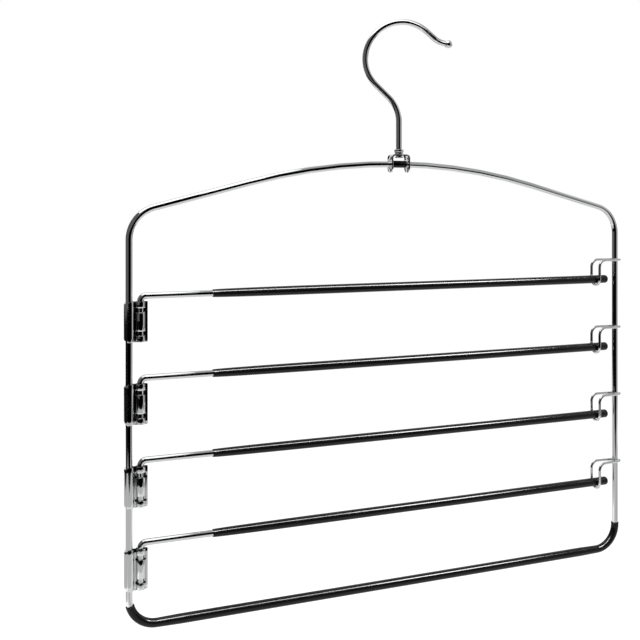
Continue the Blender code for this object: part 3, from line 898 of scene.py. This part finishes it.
# %% Bend the bottom sleeve
SLEEVE_WALL = 0.00065
MOUTH_WALL = 0.00035
MOUTH_TAPER = 0.016
MOUTH_ROUNDING_SHARE = 0.4
LIP_ANGLE = math.radians(50)
LIP_SEGMENTS = 3
TUBE_START = math.radians(14.5)
TUBE_RISE = 0.0012
TUBE_INSET = 0.000002

sleeve_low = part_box("bottom_sleeve")[0]
sleeve_radius = bottom_z - sleeve_low.z - TUBE_INSET
mouth_radius = sleeve_radius - (SLEEVE_WALL - MOUTH_WALL)
start_heading = Matrix.Rotation(-TUBE_START, 3, "Y") @ DOWN
corner_centre = Vector((left_x + CORNER_RADIUS, 0, bottom_z + CORNER_RADIUS))
start = corner_centre + Matrix.Rotation(-TUBE_START, 3, "Y") @ LEFT * CORNER_RADIUS
tube = Bender(start, start_heading, mouth_radius)
tube.bend(RIGHT, CORNER_RADIUS, math.pi / 2 - TUBE_START)
tube.feed(MOUTH_TAPER, sleeve_radius)
tube.feed((half_bottom - MOUTH_TAPER) * 2)
tube.feed(MOUTH_TAPER, mouth_radius)
tube.bend(UP, CORNER_RADIUS, math.pi / 2)
tube.feed(TUBE_RISE)
bottom_tube = tube.finish("bottom_bar_sleeve")
wall = bottom_tube.modifiers.new("wall", "SOLIDIFY")
wall.thickness = MOUTH_WALL
wall.offset = -1
wall.use_even_offset = True
lip = bottom_tube.modifiers.new("lip", "BEVEL")
lip.width = MOUTH_WALL * MOUTH_ROUNDING_SHARE
lip.segments = LIP_SEGMENTS
lip.limit_method = "ANGLE"
lip.angle_limit = LIP_ANGLE
apply_modifiers(bottom_tube)
dress(bottom_tube, sleeve_look, "frame", "black_sleeve", "bottom_sleeve")

# %% [markdown]
# ## The hinge plates
# Each plate is one strip folded round the upright, so that both leaves come together, and
# pressed round a rod to make a barrel for the arm's pin. Two windows in the front show the
# pin. They could be punched like the saddle's holes, but the bender's section can also be an
# edge with points at the windows' heights, and then a window is only a few faces left out
# before the sheet gets its thickness.

# %% Fold a hinge plate
PLATE_SHEET = 0.0008
WINDOW_HEIGHT = 0.003
WINDOW_WIDTH = 0.0068
WINDOW_INSET = 0.0055
RIM_HEIGHT = 0.0007

plate_low, plate_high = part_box("hinge_plate_1")
plate_height = plate_high.z - plate_low.z
pin_offset = pins[0].x - left_x
leaf = (PLATE_SHEET + BORE_PLAY) / 2
wrap_radius = FRAME_WIRE / 2 + BORE_PLAY + PLATE_SHEET / 2
barrel_radius = ARM_WIRE / 2 + BORE_PLAY + PLATE_SHEET / 2
lip_end = plate_high.x - left_x
wrap_turn = math.asin(leaf / wrap_radius)
barrel_turn = math.asin(leaf / barrel_radius)
barrel_start = barrel_radius * math.cos(barrel_turn)
window_margin = WINDOW_WIDTH / 2 - barrel_start
window_middles = (WINDOW_INSET, plate_height - WINDOW_INSET)
print("a plate is", round(plate_height * 1000, 1), "mm high")


def plate_heights():
    """From the top down: the edge, each window with a rim above and below, and the lower edge."""
    half = WINDOW_HEIGHT / 2
    steps = (-half - RIM_HEIGHT, -half, half, half + RIM_HEIGHT)
    return [0, *[middle + step for middle in window_middles for step in steps], plate_height]


def fold_plate():
    """The strip from its front lip, round the pin, round the upright, and back to its rear lip."""
    start = Vector((lip_end, -leaf, 0))
    edge = [start + DOWN * down for down in plate_heights()]
    strip = Bender(start, LEFT, sheet_edge=edge)
    run = lip_end - pin_offset - barrel_start
    strip.feed(run - window_margin)
    strip.feed(window_margin)
    strip.turn_about(Vector((pin_offset, 0, 0)), DOWN, math.pi - barrel_turn * 2)
    strip.heading = LEFT
    strip.feed(window_margin)
    strip.feed(pin_offset - barrel_start - window_margin - wrap_radius * math.cos(wrap_turn))
    strip.turn_about(Vector((0, 0, 0)), DOWN, math.tau - wrap_turn * 2)
    strip.heading = RIGHT
    strip.feed(pin_offset - barrel_start - wrap_radius * math.cos(wrap_turn))
    strip.turn_about(Vector((pin_offset, 0, 0)), DOWN, math.pi - barrel_turn * 2)
    strip.heading = RIGHT
    strip.feed(run)
    return strip


# %% [markdown]
# The press draws the barrel in along the windows, and this rim is what catches the light
# there. It is made by moving the corners that lie on the windows' edges, which keeps the
# faces as they are. The two corners at the fold are cut off with a plane.


# %% Open the windows and set the plates in place
PLATE_CORNER_CUT = 0.002
PLATE_EDGE = 0.00012
RIM_DRAW = 0.00025
SAME_PLACE = 0.00001
BARREL_MARGIN_SHARE = 1.01


def in_window(face):
    """Is the face in front of the pin, and between a window's top and bottom?"""
    middle = face.calc_center_median()
    beside = abs(middle.x - pin_offset) < WINDOW_WIDTH / 2
    level = any(abs(middle.z + down) < WINDOW_HEIGHT / 2 for down in window_middles)
    return beside and level and middle.y < 0


def draw_in_rims(shape):
    """Draw the barrel towards the pin along both windows, as the press does."""
    for corner in shape.verts:
        out = Vector((corner.co.x - pin_offset, corner.co.y, 0))
        gaps = [abs(abs(corner.co.z + middle) - WINDOW_HEIGHT / 2) for middle in window_middles]
        on_barrel = out.y < 0 and out.length < barrel_radius * BARREL_MARGIN_SHARE
        if on_barrel and min(gaps) < SAME_PLACE:
            corner.co += out.normalized() * RIM_DRAW * out.y / barrel_radius


def make_plate(name, top):
    """Fold a strip, open its windows, draw in their rims, cut two corners, and thicken it."""
    strip = fold_plate()
    openings = [face for face in strip.shape.faces if in_window(face)]
    bmesh.ops.delete(strip.shape, geom=openings, context="FACES")
    draw_in_rims(strip.shape)
    fold_x = -(wrap_radius + PLATE_SHEET / 2)
    for edge_z, outward in ((0, 1), (-plate_height, -1)):
        bmesh.ops.bisect_plane(
            strip.shape, geom=strip.shape.verts[:] + strip.shape.edges[:] + strip.shape.faces[:],
            plane_co=(fold_x + PLATE_CORNER_CUT, 0, edge_z), plane_no=(-1, 0, outward), clear_outer=True)
    plate = strip.finish(name, Matrix.Translation((left_x, 0, top)))
    cut_sheet(plate, PLATE_SHEET, [], PLATE_EDGE)
    return plate


for tier in TIERS:
    node = f"hinge_plate_{tier}"
    plate = make_plate(f"folded_plate_{tier}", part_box(node)[1].z)
    dress(plate, sheet_look, "frame", "chrome", node)

# %% [markdown]
# ## The arms and their sleeves
# An arm is a straight wire whose left end is bent down into the pin. Its sleeve is dipped
# soft plastic with a rounded closed end, thin at the mouth and thicker along the arm. It
# could be a tube with a cap, but the lathe turns it in one piece from a section whose taper
# and tip are both quarter turns of a circle.

# %% Draw a sleeve's section
SLEEVE_PLUG = 0.0025
SLEEVE_TIP_ROUNDING = 0.0022
SLEEVE_TAPER = 0.09
ARM_MOUTH_WALL = 0.0004
TAPER_STEPS = 10


def sleeve_section(length, radius):
    """Half a sleeve's section: its blind bore, its mouth, its taper and its round tip."""
    bore = ARM_WIRE / 2 + SNUG_PLAY
    mouth = bore + ARM_MOUTH_WALL
    section = [(length - SLEEVE_PLUG, 0), (length - SLEEVE_PLUG, bore), (0, bore)]
    turns = [math.pi / 2 * step / TAPER_STEPS for step in range(TAPER_STEPS + 1)]
    for turn in turns:
        along = SLEEVE_TAPER * (1 - math.cos(turn))
        section.append((along, radius - (radius - mouth) * (1 - math.sin(turn))))
    for turn in turns:
        along = length - SLEEVE_TIP_ROUNDING * (1 - math.sin(turn))
        section.append((along, radius - SLEEVE_TIP_ROUNDING * (1 - math.cos(turn))))
    section.append((length, 0))
    return section


print("a taper takes", TAPER_STEPS, "steps")

# %% Bend the arms and turn their sleeves
ARM_BEND_RADIUS = 0.0035
PIN_CHAMFER = 0.0003

for tier, pin in zip(TIERS, pins):
    pin_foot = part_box(f"arm_{tier}")[0].z
    rod_low, rod_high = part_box(f"arm_sleeve_{tier}")
    wire = Bender((pin.x, 0, pin_foot), UP, ARM_WIRE / 2 - PIN_CHAMFER)
    wire.feed(PIN_CHAMFER, ARM_WIRE / 2)
    wire.feed(pin.z - ARM_BEND_RADIUS - wire.place.z)
    wire.bend(RIGHT, ARM_BEND_RADIUS, math.pi / 2)
    wire.feed(rod_high.x - SLEEVE_PLUG - BORE_PLAY - wire.place.x)
    wire.close_ends()
    arm = wire.finish(f"swing_arm_{tier}")
    dress(arm, arm_look, f"arm_{tier}", "arm_chrome", f"arm_{tier}")

    section = sleeve_section(rod_high.x - rod_low.x, (rod_high.z - rod_low.z) / 2)
    rod_place = Vector((rod_low.x, 0, pin.z))
    rounding = ARM_MOUTH_WALL * MOUTH_ROUNDING_SHARE
    sleeve = lathe(f"arm_cover_{tier}", section, RIGHT, rod_place, rounding, (3,))
    dress(sleeve, sleeve_look, f"arm_{tier}", "black_sleeve", f"arm_sleeve_{tier}")

# %% [markdown]
# ## The catches
# A catch is one thin wire. It goes round the outer side of the upright, its two legs run
# towards the arm, bend down, and meet in a round cradle under the sleeve. The arm is lifted
# out between the legs. The legs spread a little, so they leave the upright on a tangent. The
# catch is bent as one ring that starts in front of the upright and ends there.

# %% Bend the catches
CATCH_BEND_RADIUS = 0.0055
CATCH_SIDES = 20

for tier in TIERS:
    low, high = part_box(f"catch_{tier}")
    half = (high.y - low.y - CATCH_WIRE) / 2
    reach = right_x - low.x - CATCH_WIRE / 2
    rise = high.z - CATCH_WIRE / 2
    cradle_z = low.z + CATCH_WIRE / 2 + half
    grip = FRAME_WIRE / 2 + SNUG_PLAY + CATCH_WIRE / 2
    corner_distance = math.hypot(reach, half)
    tangent = math.atan2(half, -reach) - math.acos(grip / corner_distance)
    leg_run = math.sqrt(corner_distance ** 2 - grip ** 2)
    start = Vector((right_x + grip * math.cos(tangent), -grip * math.sin(tangent), rise))
    inward = Vector((math.sin(tangent), math.cos(tangent), 0))
    wire = Bender(start, inward, CATCH_WIRE / 2, sides=CATCH_SIDES)
    wire.turn_about(Vector((right_x, 0, rise)), UP, tangent * 2)
    wire.feed(leg_run - CATCH_BEND_RADIUS)
    wire.bend(DOWN, CATCH_BEND_RADIUS, math.pi / 2)
    wire.feed(rise - CATCH_BEND_RADIUS - cradle_z)
    wire.bend(FRONT, half, math.pi)
    wire.feed(rise - CATCH_BEND_RADIUS - cradle_z)
    wire.bend(inward, CATCH_BEND_RADIUS, math.pi / 2)
    wire.feed(leg_run - CATCH_BEND_RADIUS)
    wire.weld()
    catch = wire.finish(f"wire_catch_{tier}")
    dress(catch, chrome_look, "frame", "chrome", f"catch_{tier}")

# %% [markdown]
# ## The line of light along the sleeves
# A thin bright line is what shows that a black sleeve is round. The strip lamp that draws it
# would wash out the dark lines in the chrome, so light linking lets it shine on the sleeves
# alone.

# %% Link the strip lamp to the sleeves
lit_sleeves = bpy.data.collections.new("lit_sleeves")
for name in ["bottom_bar_sleeve", *[f"arm_cover_{tier}" for tier in TIERS]]:
    lit_sleeves.objects.link(bpy.data.objects[name])
sleeve_strip.light_linking.receiver_collection = lit_sleeves
